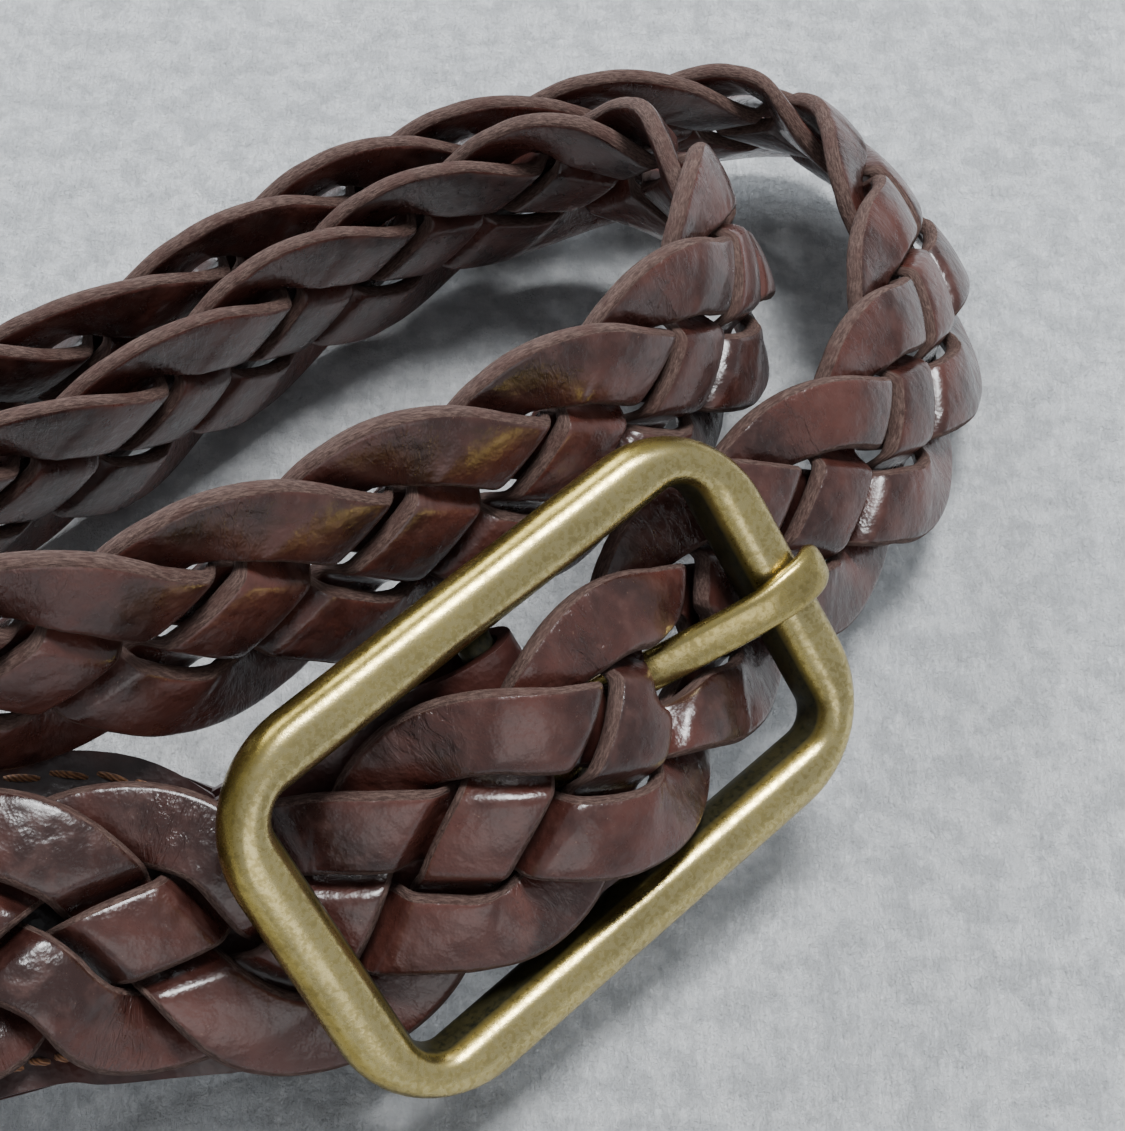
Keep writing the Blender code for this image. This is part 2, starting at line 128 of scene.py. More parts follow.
# along the frame from its middle, and level above its middle plane
UNDER_OVER_UNDER = [(28.0, -7.0), (14.0, -1.1), (0.0, 4.3), (-14.0, -1.1), (-28.0, -7.8)]
# middle of the chape's layers from the centre bar back under the strap, and their extra lean
CHAPE_UNDER = [(6.0, -2.2, 0), (0.0, -2.2, 0), (-5.0, -3.2, 0), (-10.0, -6.2, 0), (-14.0, -8.5, 0),
               (-20.0, -11.2, 2), (-28.0, -14.9, 5)]
TIP_RUN = [
    (-44.5, -49.3, 18.0, 62), (-60.5, -54.8, 17.6, 66), (-75.0, -58.6, 17.6, 67)]


def unit(vector):
    vector = np.asarray(vector, float)
    return vector / np.linalg.norm(vector)


def smooth(x):
    """A soft step from 0 to 1."""
    x = np.clip(x, 0, 1)
    return x * x * (3 - 2 * x)


def spline(knots, values, at):
    """Natural cubic spline through the rows of values."""
    count = len(knots)
    gap = np.diff(knots)
    system = np.eye(count)
    right = np.zeros_like(values)
    for i in range(1, count - 1):
        system[i, i - 1:i + 2] = gap[i - 1], 2 * (gap[i - 1] + gap[i]), gap[i]
        right[i] = 6 * ((values[i + 1] - values[i]) / gap[i] - (values[i] - values[i - 1]) / gap[i - 1])
    bend = np.linalg.solve(system, right)
    i = np.clip(np.searchsorted(knots, at, side="right") - 1, 0, count - 2)
    g = gap[i][:, None]
    low = (knots[i + 1] - at)[:, None] / g
    high = 1 - low
    curve = ((low ** 3 - low) * bend[i] + (high ** 3 - high) * bend[i + 1]) * g * g / 6
    return low * values[i] + high * values[i + 1] + curve


class Band:
    """The surface a strap lies on: distance along, across (up) and out of its face."""

    def __init__(self, stations):
        stations = np.array(stations, float)
        steps = np.linalg.norm(np.diff(stations[:, :3], axis=0), axis=1)
        knots = np.concatenate([[0], np.cumsum(steps)])
        at = np.linspace(0, knots[-1], int(knots[-1] * 4))
        fine = spline(knots, stations, at)
        self.middle = fine[:, :3]
        steps = np.linalg.norm(np.diff(self.middle, axis=0), axis=1)
        self.along = np.concatenate([[0], np.cumsum(steps)])
        self.station_along = np.interp(knots, at, self.along)
        self.lean = fine[:, 3]
        lean = np.radians(self.lean)[:, None]
        forward = np.gradient(self.middle, self.along, axis=0)
        forward /= np.linalg.norm(forward, axis=1)[:, None]
        inward = np.stack([forward[:, 1], -forward[:, 0], 0 * forward[:, 0]], 1)
        inward /= np.linalg.norm(inward, axis=1)[:, None]
        across = np.cos(lean) * np.array([0, 0, 1]) + np.sin(lean) * inward
        across -= forward * (across * forward).sum(1)[:, None]
        self.across = across / np.linalg.norm(across, axis=1)[:, None]
        self.out = np.cross(self.across, forward)

    def pick(self, rows, at):
        return np.stack([np.interp(at, self.along, rows[:, i]) for i in range(3)], -1)

    def point(self, along, across, out):
        """World points in millimetres; beyond the ends the band runs on straight."""
        along, across, out = np.broadcast_arrays(*(np.asarray(v, float) for v in (along, across, out)))
        inside = np.clip(along, 0, self.along[-1])
        spare = (along - inside)[..., None]
        tail = unit(self.middle[-1] - self.middle[-5])
        base = self.pick(self.middle, inside) + spare * tail
        sideways = across[..., None] * self.pick(self.across, inside)
        outward = out[..., None] * self.pick(self.out, inside)
        return base + sideways + outward


# frame axes, made square to one another
ALONG = unit(FRAME_ALONG)
ACROSS = unit(np.array(FRAME_ACROSS) - ALONG * np.dot(FRAME_ACROSS, ALONG))
OUT = np.cross(ALONG, ACROSS)
FRAME_LEAN = math.degrees(math.asin(OUT[2]))


def in_frame(along, across, out):
    """A point counted from the buckle's centre along the strap, across it and out of the frame."""
    return np.array(FRAME_CENTRE) + ALONG * along + ACROSS * across + OUT * out


def strap_stations():
    """All stations from inside the chape to the tip, and where the buckle sits on them."""
    buckle = []
    for along, out in UNDER_OVER_UNDER:
        extra = 5 if along < -20 else 0
        buckle.append(tuple(in_frame(along, STRAP_SHIFT, out)) + (FRAME_LEAN + extra,))
    end = Band(RUN_TWO + buckle + TIP_RUN)
    middle = end.station_along[len(RUN_TWO) + 2]
    start = []
    for back in (CHAPE_LENGTH - 12, CHAPE_LENGTH - 6, CHAPE_LENGTH):
        spot = end.point(middle + back, 0, -ROOT_DROP)
        start.append(tuple(spot) + (float(np.interp(middle + back, end.along, end.lean)) + ROOT_LEAN,))
    before = start + FIRST_TURN + RUN_ONE + SECOND_TURN + RUN_TWO
    return before + buckle + TIP_RUN, len(before) + 2, len(start) + len(FIRST_TURN)


def chape_stations(stations):
    """Stations of the chape's middle, from the centre bar to the braid's first ones."""
    chape = []
    for along, out, extra in CHAPE_UNDER:
        chape.append(tuple(in_frame(along, STRAP_SHIFT, out)) + (FRAME_LEAN + extra,))
    return chape + stations[:3]


STATIONS, AT_BAR, AT_RUN_ONE = strap_stations()
STRAP = Band(STATIONS)
CHAPE = Band(chape_stations(STATIONS))
CHAPE_BAR = CHAPE.station_along[1]
ROOT_BACK = CHAPE.station_along[-3] - CHAPE_BAR
BAR_ALONG = STRAP.station_along[AT_BAR]
RUN_TWO_ALONG = STRAP.station_along[AT_BAR - 4]
TIP_ALONG = STRAP.station_along[-3]
END_ALONG = STRAP.station_along[-1]
HOLE_ALONG = BAR_ALONG - 16.2

# pitches counted from the chape, at known places along the strap
COUNT_KEYS = [(0.0, 0.0)]
COUNT_KEYS += [(STRAP.station_along[AT_RUN_ONE + 1 + i], 16.0 + i) for i in range(5)]
COUNT_KEYS += [(RUN_TWO_ALONG, 37.0), (STRAP.station_along[AT_BAR - 3], 38.0)]
COUNT_KEYS += [(HOLE_ALONG, 40.0), (BAR_ALONG + 1.5, 41.0), (TIP_ALONG, 44.0)]
COUNT_KEYS += [(END_ALONG, 44.0 + (END_ALONG - TIP_ALONG) / PITCH)]
BRAID_START = 0.15
BRAID_END = 44.9


def along_of(count):
    """Distance along the strap of a count of pitches."""
    keys = np.array(COUNT_KEYS)
    return np.interp(count, keys[:, 1], keys[:, 0])


def spread(along, across):
    """Laces pushed apart round the prong."""
    stretch = HOLE_HALF_LONG / HOLE_HALF_TALL
    opening = 0.955 * HOLE_HALF_TALL
    x = (along - HOLE_ALONG) / stretch
    radius = np.hypot(x, across) + 1e-9
    grown = (radius ** 3 + opening ** 3) ** (1 / 3) / radius
    return HOLE_ALONG + x * grown * stretch, across * grown


def lace_centre(turn):
    """Height across the strap of a lace; turn runs 0 to 4 pitches over its whole cycle."""
    turn = np.mod(turn, 4)
    from_top = np.abs(turn - 3.5)
    from_top = np.minimum(from_top, 4 - from_top)
    from_edge = np.minimum(from_top, 2 - from_top)
    side = np.where(from_top < 1, 1, -1)
    crest = COLUMN * (2 - TURN)
    arch = crest - COLUMN / TURN * from_edge ** 2
    leg = crest - COLUMN * TURN - 2 * COLUMN * (from_edge - TURN)
    return side * np.where(from_edge < TURN, arch, leg)


FLAT = 0.179            # half of a crossing, in pitches
SWELL_HALF = 0.27       # half of a lace's swell over a crossing, in pitches
CREASE_HALF = 0.42      # half of the creased stretch where a lace turns back, in pitches
LEVEL_TURNS = [(0, 1), (0.5, -1), (1, 1), (2, -1), (2.5, 1), (3, -1), (4, 1)]
LEVEL_KEYS = []
for turn, sign in LEVEL_TURNS:
    LEVEL_KEYS += [(turn - FLAT, sign), (turn + FLAT, sign)]


def lace_skew(turn):
    """Cut lines of a lace run parallel to the laces it crosses; square at the edges."""
    turn = np.mod(turn, 4)
    return np.interp(turn, [0, 1.2, 1.8, 3.2, 3.8, 4], [1, 1, -1, -1, 1, 1])


def lace_level(turn):
    """Height of a lace's middle: flat crossings joined by smooth steps, with a swell on each crossing."""
    turn = np.mod(turn + FLAT, 4) - FLAT
    keys = np.array(LEVEL_KEYS)
    i = np.clip(np.searchsorted(keys[:, 0], turn, side="right") - 1, 0, len(keys) - 2)
    part = (turn - keys[i, 0]) / (keys[i + 1, 0] - keys[i, 0])
    level = keys[i, 1] + (keys[i + 1, 1] - keys[i, 1]) * smooth(part)
    swell = np.zeros_like(turn)
    for middle, sign in LEVEL_TURNS:
        swell += sign * np.clip(1 - ((turn - middle) / SWELL_HALF) ** 2, 0, 1)
    return LACE_LEVEL * level + LACE_PILLOW * swell


# cross-section of a lace: share of its half width, share of its half thickness, 1 on the cut sides
LACE_CROWN = 0.26
LACE_SECTION = [(w, 1.0 - LACE_CROWN * w * w, 0) for w in np.linspace(-0.78, 0.78, 9)]
LACE_SECTION += [(0.865, 0.74, 1), (0.945, 0.50, 1), (1.0, 0.1, 1), (0.985, -0.45, 1), (0.94, -0.78, 0)]
LACE_SECTION += [(w, -1.0 + 0.16 * abs(w) ** 3, 0) for w in (0.84, 0.42, 0.0, -0.42, -0.84)]
LACE_SECTION += [(-0.94, -0.78, 1), (-0.985, -0.45, 1), (-1.0, 0.1, 1), (-0.945, 0.50, 1), (-0.865, 0.74, 0)]
LACE_FLAGS = [flag for _, _, flag in LACE_SECTION]


def lace_rings(number):
    """Rings of points along one lace, and for each point where it lies on the lace and how it is worn."""
    counts = np.arange(BRAID_START, BRAID_END + LACE_STEP / 2, LACE_STEP)
    turn = number - counts
    along = along_of(counts)
    across = lace_centre(turn)
    step = 0.02
    climb = lace_centre(turn - step) - lace_centre(turn + step)
    rise = climb / (along_of(counts + step) - along_of(counts - step))
    length = np.hypot(1, rise)
    forward = np.stack([1 / length, rise / length], -1)
    upward = np.stack([-rise / length, 1 / length], -1)
    slope = math.atan(2 * COLUMN / PITCH)
    skew = lace_skew(turn) / math.tan(2 * slope)
    travel = np.concatenate([[0], np.cumsum(np.hypot(np.diff(along), np.diff(across)))])
    level = lace_level(turn)
    crease = np.clip(1 - np.abs(np.mod(turn, 2) - 1.5) / CREASE_HALF, 0, 1)
    ones = np.ones(len(turn))
    rings, lay, wear = [], [], []
    for w, h, _ in LACE_SECTION:
        half = LACE_WIDTH / 2 * w
        a, y = spread(along + half * (upward[:, 0] - skew * forward[:, 0]),
                      across + half * (upward[:, 1] - skew * forward[:, 1]))
        rings.append(STRAP.point(a, y, level + h * LACE_THICK / 2))
        lay.append(np.stack([travel - half * skew, half * ones, h * ones], -1))
        wear.append(np.stack([abs(w) * (h > -0.8) * ones, crease, 0 * ones], -1))
    return np.stack(rings, 1), np.stack(lay, 1), np.stack(wear, 1)


def grid_faces(count, size, closed=False):
    """Quads between rings of the same size; closed joins the last ring to the first."""
    i = np.arange(count if closed else count - 1)[:, None]
    k = np.arange(size)[None, :]
    j = (i + 1) % count
    m = (k + 1) % size
    return np.stack([i * size + k, i * size + m, j * size + m, j * size + k], -1).reshape(-1, 4)


def facing_out(points, faces):
    """The same faces, turned round if the body they close is inside out."""
    volume = 0.0
    for face in faces:
        for k in range(1, len(face) - 1):
            volume += np.dot(points[face[0]], np.cross(points[face[k]], points[face[k + 1]]))
    return faces if volume > 0 else [face[::-1] for face in faces]


def new_mesh(name, points, faces, materials, body, picks=None, fields=None):
    """A smooth piece from points in millimetres, riding on a body; picks gives each face its material."""
    mesh = bpy.data.meshes.new(name)
    mesh.from_pydata([tuple(p) for p in (points + np.array(PLACE)) * MM], [], [tuple(f) for f in faces])
    for material in materials:
        mesh.materials.append(material)
    if picks is not None:
        mesh.polygons.foreach_set("material_index", np.asarray(picks, np.int32))
    mesh.shade_smooth()
    for field, values in (fields or {}).items():
        made = mesh.attributes.new(field, "FLOAT_VECTOR", "POINT")
        made.data.foreach_set("vector", np.asarray(values, np.float32).ravel())
    mesh.update()
    piece = bpy.data.objects.new(name, mesh)
    bpy.context.scene.collection.objects.link(piece)
    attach(piece, body)
    return piece


def tube(name, rings, materials, body, flags=None, closed=False, fields=None):
    """A closed body from rings, with a material for each strip of its section."""
    count, size = rings.shape[:2]
    points = rings.reshape(-1, 3)
    faces = grid_faces(count, size, closed)
    a, b, c, d = (points[faces[:, k]] for k in range(4))
    volume = (a * np.cross(b, c)).sum() + (a * np.cross(c, d)).sum()
    faces = [tuple(int(v) for v in face) for face in faces]
    picks = list(np.tile(flags, len(faces) // size)) if flags is not None else [0] * len(faces)
    if not closed:
        faces += [tuple(range(size))[::-1], tuple((count - 1) * size + k for k in range(size))]
        picks += [max(picks)] * 2
    if volume < 0:
        faces = [face[::-1] for face in faces]
    if fields:
        fields = {field: values.reshape(-1, 3) for field, values in fields.items()}
    return new_mesh(name, points, faces, materials, body, picks, fields)


def layer(name, top, under, keep, material, body, edge=0.35):
    """A leather layer between two grids of points, with its edges rounded."""
    rows, columns = top.shape[:2]
    low = rows * columns
    faces = []
    for i in range(rows - 1):
        for k in range(columns - 1):
            if not keep[i, k]:
                continue
            ring = [i * columns + k, (i + 1) * columns + k, (i + 1) * columns + k + 1, i * columns + k + 1]
            faces.append(tuple(ring))
            faces.append(tuple(low + v for v in ring[::-1]))
            for side, (r, c) in enumerate(((i, k - 1), (i + 1, k), (i, k + 1), (i - 1, k))):
                inside = 0 <= r < rows - 1 and 0 <= c < columns - 1 and keep[r, c]
                if not inside:
                    a, b = ring[side], ring[(side + 1) % 4]
                    faces.append((b, a, low + a, low + b))
    points = np.concatenate([top.reshape(-1, 3), under.reshape(-1, 3)])
    used = sorted({v for face in faces for v in face})
    new = {v: i for i, v in enumerate(used)}
    points = points[used]
    faces = facing_out(points, [tuple(new[v] for v in face) for face in faces])
    piece = new_mesh(name, points, faces, [material], body)
    bevel = piece.modifiers.new("edge", "BEVEL")
    bevel.width = edge * MM
    bevel.segments = 3
    bevel.limit_method = "ANGLE"
    bevel.angle_limit = math.radians(45)
    bevel.harden_normals = False
    normals = piece.modifiers.new("normals", "WEIGHTED_NORMAL")
    normals.keep_sharp = False
    return piece


def rounded(outline, rounds=2):
    """A closed outline with its corners cut off again and again."""
    outline = np.array(outline, float)
    for _ in range(rounds):
        after = np.roll(outline, -1, axis=0)
        outline = np.stack([0.75 * outline + 0.25 * after, 0.25 * outline + 0.75 * after], 1).reshape(-1, 2)
    return outline


def stitch_row(name, spots, material):
    """Separate stitches, each dipping at its ends; spots are (start, end, up)."""
    points, faces = [], []
    for start, end, up in spots:
        run = unit(end - start)
        side = np.cross(up, run)
        base = len(points)
        for i in range(STITCH_RINGS):
            part = i / (STITCH_RINGS - 1)
            swell = math.sin(math.pi * (0.12 + 0.76 * part))
            middle = start + (end - start) * part + up * (-STITCH_DIP + (STITCH_DIP + STITCH_RISE) * swell)
            radius = STITCH_RADIUS * (0.55 + 0.45 * swell)
            for k in range(STITCH_SIDES):
                angle = 2 * math.pi * k / STITCH_SIDES
                points.append(middle + side * radius * math.cos(angle) + up * radius * math.sin(angle))
        faces += (base + grid_faces(STITCH_RINGS, STITCH_SIDES)).tolist()
        ends = [base + k for k in range(STITCH_SIDES)]
        faces.append(ends[::-1])
        faces.append([(STITCH_RINGS - 1) * STITCH_SIDES + k for k in ends])
    points = np.array(points)
    return new_mesh(name, points, facing_out(points, faces), [material], "strap")


# ------------------------------------------------------------------ materials


class Paint:
    """A material whose nodes are added one by one."""

    def __init__(self, name):
        self.material = bpy.data.materials.new(name)
        self.material.use_nodes = True
        self.tree = self.material.node_tree
        self.shader = self.tree.nodes["Principled BSDF"]

    def node(self, kind, inputs=None, **settings):
        made = self.tree.nodes.new(kind)
        for key, value in settings.items():
            setattr(made, key, value)
        for key, value in (inputs or {}).items():
            self.put(made, key, value)
        return made

    def put(self, node, key, value):
        if isinstance(value, bpy.types.NodeSocket):
            self.tree.links.new(value, node.inputs[key])
        else:
            node.inputs[key].default_value = value

    def set(self, **values):
        for key, value in values.items():
            self.put(self.shader, key.replace("_", " "), value)

    def place(self):
        """Position in millimetres."""
        where = self.node("ShaderNodeTexCoord").outputs["Object"]
        return self.times(where, (1 / MM,) * 3)

    def times(self, vector, scale):
        return self.node("ShaderNodeVectorMath", {0: vector, 1: scale}, operation="MULTIPLY").outputs[0]

    def field(self, name):
        """Values that a mesh carries on its points."""
        return self.node("ShaderNodeAttribute", attribute_name=name).outputs["Vector"]

    def split(self, vector):
        return self.node("ShaderNodeSeparateXYZ", {0: vector}).outputs

    def noise(self, vector, scale, detail=3.0, roughness=0.55, distortion=0.0):
        made = self.node("ShaderNodeTexNoise", {"Vector": vector, "Scale": scale, "Detail": detail,
                                                "Roughness": roughness, "Distortion": distortion})
        return made.outputs["Fac"]

    def cells(self, vector, scale):
        return self.node("ShaderNodeTexVoronoi", {"Vector": vector, "Scale": scale}).outputs["Distance"]

    def math(self, operation, a, b=0.0, clamp=False):
        return self.node("ShaderNodeMath", {0: a, 1: b}, operation=operation, use_clamp=clamp).outputs[0]

    def between(self, value, low, high, to_low=0.0, to_high=1.0):
        """A smooth step as the value goes from low to high."""
        inputs = {"Value": value, "From Min": low, "From Max": high, "To Min": to_low, "To Max": to_high}
        return self.node("ShaderNodeMapRange", inputs, interpolation_type="SMOOTHSTEP").outputs["Result"]

    def mix(self, share, first, second):
        """One colour laid over another by a share from 0 to 1."""
        made = self.node("ShaderNodeMix", data_type="RGBA")
        self.put(made, 0, share)
        self.put(made, 6, first if isinstance(first, bpy.types.NodeSocket) else (*first, 1.0))
        self.put(made, 7, second if isinstance(second, bpy.types.NodeSocket) else (*second, 1.0))
        return made.outputs[2]

    def bumps(self, *layers):
        """Bumps laid one on another; each is (height value, depth in millimetres)."""
        normal = None
        for height, depth in layers:
            inputs = {"Height": height, "Distance": depth * MM, "Strength": 1.0}
            if normal is not None:
                inputs["Normal"] = normal
            normal = self.node("ShaderNodeBump", inputs).outputs["Normal"]
        self.set(Normal=normal)


def lace_leather():
    """Waxed dark brown grain leather: drawn creases where the laces bend, worn tan specks along the edges."""
    paint = Paint("lace_grain")
    where = paint.place()
    lay = paint.field("lay")
    wear = paint.split(paint.field("wear"))
    edge, crease = wear[0], wear[1]
    tone = paint.noise(where, 0.10, 3.0)
    patch = paint.noise(where, 0.45, 4.0)
    colour = paint.mix(paint.between(tone, 0.35, 0.66), (0.027, 0.0094, 0.0076), (0.088, 0.0285, 0.0215))
    colour = paint.mix(paint.between(patch, 0.45, 0.75, 0.0, 0.45), colour, (0.108, 0.048, 0.039))
    rub = paint.noise(where, 1.9, 5.0, 0.7)
    near_edge = paint.between(edge, 0.80, 0.97)
    worn = paint.math("MULTIPLY", paint.between(rub, 0.52, 0.68), near_edge)
    colour = paint.mix(paint.math("MULTIPLY", worn, 0.5), colour, (0.24, 0.135, 0.085))
    speck = paint.between(paint.noise(where, 3.2, 2.0), 0.71, 0.77)
    colour = paint.mix(paint.math("MULTIPLY", speck, 0.4), colour, (0.27, 0.17, 0.12))
    drawn = paint.noise(paint.times(lay, (1.25, 0.42, 0.0)), 1.0, 3.0, 0.6, 0.9)
    drawn = paint.math("MULTIPLY", paint.between(drawn, 0.40, 0.62), paint.between(crease, 0.35, 1.0))
    fine = paint.noise(paint.times(lay, (4.0, 2.2, 0.0)), 1.0, 3.0, 0.6)
    pores = paint.cells(where, 3.0)
    rough = paint.between(patch, 0.3, 0.75, 0.25, 0.38)
    rough = paint.math("ADD", rough, paint.math("MULTIPLY", worn, 0.2))
    paint.bumps((drawn, 0.085), (fine, 0.016), (pores, 0.026), (paint.noise(where, 0.35, 2.0), 0.42))
    paint.set(Base_Color=colour, Roughness=rough, Specular_IOR_Level=0.45)
    paint.set(Coat_Weight=0.50, Coat_Roughness=0.19)
    return paint.material


def cut_edge():
    """The laces' cut sides: raw fibre, lighter and matt."""
    paint = Paint("lace_cut")
    where = paint.place()
    lay = paint.field("lay")
    fibre = paint.noise(paint.times(lay, (1.3, 4.0, 7.0)), 1.0, 5.0, 0.7)
    patch = paint.noise(where, 0.35, 3.0)
    colour = paint.mix(paint.between(fibre, 0.35, 0.7), (0.050, 0.026, 0.021), (0.160, 0.102, 0.084))
    colour = paint.mix(paint.between(patch, 0.45, 0.7, 0.0, 0.5), colour, (0.070, 0.030, 0.024))
    paint.bumps((fibre, 0.22), (paint.noise(where, 3.0, 3.0), 0.08))
    paint.set(Base_Color=colour, Roughness=0.78, Specular_IOR_Level=0.3)
    return paint.material


def tab_leather():
    """Smooth strap leather of the chape and tip, a little redder, with a fine grain."""
    paint = Paint("tab_grain")
    where = paint.place()
    tone = paint.noise(where, 0.12, 3.0)
    colour = paint.mix(paint.between(tone, 0.35, 0.7), (0.026, 0.009, 0.008), (0.070, 0.023, 0.018))
    rub = paint.between(paint.noise(where, 1.4, 5.0, 0.7), 0.6, 0.75, 0.0, 0.25)
    colour = paint.mix(rub, colour, (0.11, 0.055, 0.038))
    grain = paint.cells(where, 1.9)
    rough = paint.between(paint.noise(where, 0.6, 3.0), 0.3, 0.7, 0.32, 0.46)
    paint.bumps((grain, 0.035), (paint.noise(where, 4.0, 3.0), 0.02), (paint.noise(where, 0.3, 2.0), 0.3))
    paint.set(Base_Color=colour, Roughness=rough, Specular_IOR_Level=0.5)
    paint.set(Coat_Weight=0.15, Coat_Roughness=0.3)
    return paint.material


def waxed_thread():
    """Twisted thread, rust brown, banded light and dark along its twist."""
    paint = Paint("thread")
    where = paint.place()
    twist = paint.node("ShaderNodeTexWave", {"Vector": where, "Scale": 1.1, "Distortion": 3.0, "Detail": 2.0},
                       wave_type="BANDS", bands_direction="DIAGONAL").outputs["Fac"]
    colour = paint.mix(twist, (0.12, 0.042, 0.016), (0.34, 0.15, 0.06))
    paint.bumps((twist, 0.08))
    paint.set(Base_Color=colour, Roughness=0.62, Sheen_Weight=0.2)
    return paint.material


def antique_brass():
    """Antiqued brass: olive yellow, worn bright along the crowns, near-black on the frame's inner walls and
    undersides and as painted shade all over the centre bar, finely pitted.
    """
    paint = Paint("antique_brass")
    where = paint.place()
    patina_and_shade = paint.split(paint.field("patina_and_shade"))
    hollow_and_shade, crown = patina_and_shade[0], patina_and_shade[1]
    cloud = paint.noise(where, 0.13, 4.0, 0.6)
    mottle = paint.noise(where, 1.7, 4.0, 0.65)
    colour = paint.mix(paint.between(cloud, 0.36, 0.64), (0.280, 0.208, 0.052), (0.460, 0.350, 0.092))
    colour = paint.mix(paint.between(mottle, 0.52, 0.68, 0.0, 0.45), colour, (0.120, 0.094, 0.038))
    bright = paint.math("MULTIPLY", crown, paint.between(mottle, 0.42, 0.60, 0.6, 0.3))
    colour = paint.mix(bright, colour, (0.80, 0.69, 0.36))
    # near-black: painted shade over the whole centre bar, and darkening on the frame's inner walls and on the
    # frame's and prong's undersides
    dark = paint.math("MULTIPLY", hollow_and_shade, paint.between(mottle, 0.25, 0.6, 1.0, 0.9), True)
    colour = paint.mix(dark, colour, (0.008, 0.011, 0.008))
    rough = paint.between(mottle, 0.35, 0.7, 0.22, 0.34)
    rough = paint.math("ADD", rough, paint.math("MULTIPLY", hollow_and_shade, 0.12))
    metal = paint.between(hollow_and_shade, 0.0, 1.0, 0.95, 0.45)
    pits = paint.noise(where, 5.0, 3.0, 0.7)
    waves = paint.noise(where, 0.3, 2.0)
    paint.bumps((mottle, 0.010), (pits, 0.010), (waves, 0.05))
    paint.set(Base_Color=colour, Roughness=rough, Metallic=metal)
    return paint.material


def felt():
    """Pale grey felt under the belt."""
    paint = Paint("felt")
    where = paint.place()
    cloud = paint.noise(where, 0.03, 4.0)
    fluff = paint.noise(where, 0.45, 6.0, 0.7)
    hairs = paint.noise(paint.times(where, (1.0, 0.35, 1.0)), 1.6, 5.0, 0.75, 1.5)
    colour = paint.mix(paint.between(cloud, 0.3, 0.7), (0.67, 0.69, 0.71), (0.77, 0.78, 0.79))
    colour = paint.mix(paint.between(fluff, 0.42, 0.64, 0.0, 0.75), colour, (0.82, 0.83, 0.835))
    colour = paint.mix(paint.between(hairs, 0.52, 0.68, 0.0, 0.4), colour, (0.86, 0.87, 0.875))
    tufts = paint.noise(where, 0.26, 4.0, 0.6)
    colour = paint.mix(paint.between(tufts, 0.42, 0.60, 0.0, 0.65), colour, (0.50, 0.515, 0.53))
    paint.bumps((fluff, 1.3), (hairs, 0.5), (tufts, 0.7))
    paint.set(Base_Color=colour, Roughness=0.95, Specular_IOR_Level=0.1)
    return paint.material


GRAIN = lace_leather()
CUT = cut_edge()
TAB = tab_leather()
THREAD = waxed_thread()
BRASS = antique_brass()

# ------------------------------------------------------------------ laces

for number in range(4):
    rings, lay, wear = lace_rings(number)
    name = f"lace_{number + 1}"
    piece = tube(name + "_braided", rings, [GRAIN, CUT], "strap", LACE_FLAGS,
                 fields={"lay": lay, "wear": wear})
    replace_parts(piece, name)

# ------------------------------------------------------------------ chape

# how far each layer lies from the chape's middle: at the bar, along the neck and over the laces
SPREAD_AT_BAR = 2.7
SPREAD_NECK = 2.15
SPREAD_NECK_BACK = 8.0
SPREAD_LACES = 3.55
SPREAD_OPENS = ROOT_BACK - 9
SPREAD_OPENING = 7.0
STITCHES_FROM = ROOT_BACK - 5.5


def chape_half_width(back):
    """Half its width at a distance back from the bar."""
    low, high = CHAPE_WIDENS
    widening = smooth((np.asarray(back, float) - low) / (high - low))
    return CHAPE_NECK / 2 + (CHAPE_WIDE - CHAPE_NECK) / 2 * widening


def chape_spread(back):
    """How far each layer lies from the chape's middle at a distance back from the bar."""
    back = np.asarray(back, float)
    near_bar = np.interp(back, [0, SPREAD_NECK_BACK], [SPREAD_AT_BAR, SPREAD_NECK])
    over_laces = SPREAD_NECK + (SPREAD_LACES - SPREAD_NECK) * smooth((back - SPREAD_OPENS) / SPREAD_OPENING)
    return np.where(back < SPREAD_NECK_BACK, near_bar, over_laces)


def chape():
    """The folded leather, from its outer end over the bar to its inner end, with a slot for the prong."""
    backs = np.concatenate([np.linspace(CHAPE_COVER, SLOT_BACK, 36), np.linspace(SLOT_BACK, 2, 5)[1:]])
    path = [(back, float(chape_spread(back)), 0.0, 1.0) for back in backs]
    for degrees in range(90, -91, -12):
        back_out, level_out = -math.cos(math.radians(degrees)), math.sin(math.radians(degrees))
        path.append((CHAPE_FOLD * back_out, CHAPE_FOLD * level_out, back_out, level_out))
    path += [(back, -float(chape_spread(back)), 0.0, -1.0) for back in reversed(backs)]
    rows = {1: [], -1: []}
    shares = np.array([0.0, 0.12, 0.45, 0.8, 1.0])
    for back, level, back_out, level_out in path:
        wide = float(chape_half_width(max(back, 0)))
        right = SLOT_HALF + (wide - SLOT_HALF) * shares
        across = np.concatenate([-right[::-1], right])
        for side in rows:
            push = side * SKIN / 2
            along = CHAPE_BAR + back + push * back_out
            rows[side].append(CHAPE.point(along, across, level + push * level_out))
    keep = np.ones((len(path) - 1, 9), bool)
    for i in range(len(path) - 1):
        keep[i, 4] = max(path[i][0], path[i + 1][0]) > SLOT_BACK + 0.1
    return layer("chape_leather", np.array(rows[1]), np.array(rows[-1]), keep, TAB, "strap")


def chape_stitches(name, side, edge):
    """A row of stitches on one layer of the chape, along one of its edges."""
    spots = []
    for back in np.arange(STITCHES_FROM, CHAPE_COVER - 2, STITCH_PITCH):
        level = side * (chape_spread(back) + SKIN / 2)
        ends = []
        for way in (-1, 1):
            across = edge * (chape_half_width(back) - STITCH_INSET) + way * STITCH_SLANT
            ends.append(CHAPE.point(CHAPE_BAR + back + way * STITCH_LENGTH / 2, across, level))
        up = CHAPE.point(CHAPE_BAR + back, 0, side) - CHAPE.point(CHAPE_BAR + back, 0, 0)
        spots.append((ends[0], ends[1], unit(up)))
    return stitch_row(name + "_threads", spots, THREAD)


